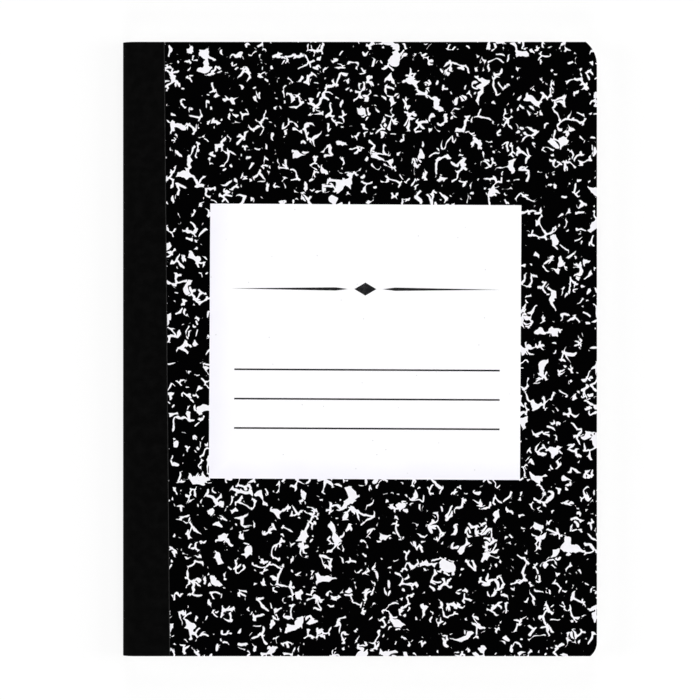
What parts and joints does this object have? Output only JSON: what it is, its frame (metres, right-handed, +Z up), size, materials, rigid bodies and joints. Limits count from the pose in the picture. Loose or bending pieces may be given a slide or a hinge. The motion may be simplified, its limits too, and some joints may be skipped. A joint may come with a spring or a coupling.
{
  "type": "composition notebook",
  "caption": "Sewn notebook with marbled card covers that open, a cloth spine tape, a pasted title label with writing lines, and wide-ruled leaves.",
  "frame": {"origin": "centre of the closed notebook's footprint, on the plane that it lies on", "axes": "+X from the spine to the fore-edge, +Y from the foot to the head along the spine, +Z up out of the front cover"},
  "size_m": [0.1908, 0.247, 0.0103],
  "materials": {
    "cover_card": "smooth printed card with a slight sheen",
    "marbled_white": "smooth printed card with a slight sheen",
    "spine_cloth": "fine woven book cloth, matt",
    "leaf_paper": "matt writing paper",
    "sewing_thread": "waxed cotton",
    "blue_ruling": "printed line",
    "red_ruling": "printed line",
    "label_paper": "smooth white paper",
    "black_ink": "printed line"
  },
  "bodies": {
    "back": {"back_cover": "cover_card", "back_spine_tape": "spine_cloth", "back_marbling": "marbled_white"},
    "leaves": {"page_block": "leaf_paper", "sewing_thread": "sewing_thread", "ruled_lines": "blue_ruling", "margin_lines": "red_ruling"},
    "front": {"front_cover": "cover_card", "front_spine_tape": "spine_cloth", "label_panel": "label_paper", "writing_lines": "black_ink", "heading_ornament": "black_ink", "front_marbling": "marbled_white"}
  },
  "joints": [
    {"name": "back_cover_hinge", "type": "hinge", "parent": "back", "child": "leaves", "pos_m": [-0.0954, 0, 0.00515], "axis": [0, -1, 0], "range_deg": [0, 180]},
    {"name": "front_cover_hinge", "type": "hinge", "parent": "leaves", "child": "front", "pos_m": [-0.0954, 0, 0.00515], "axis": [0, -1, 0], "range_deg": [0, 180]}
  ]
}
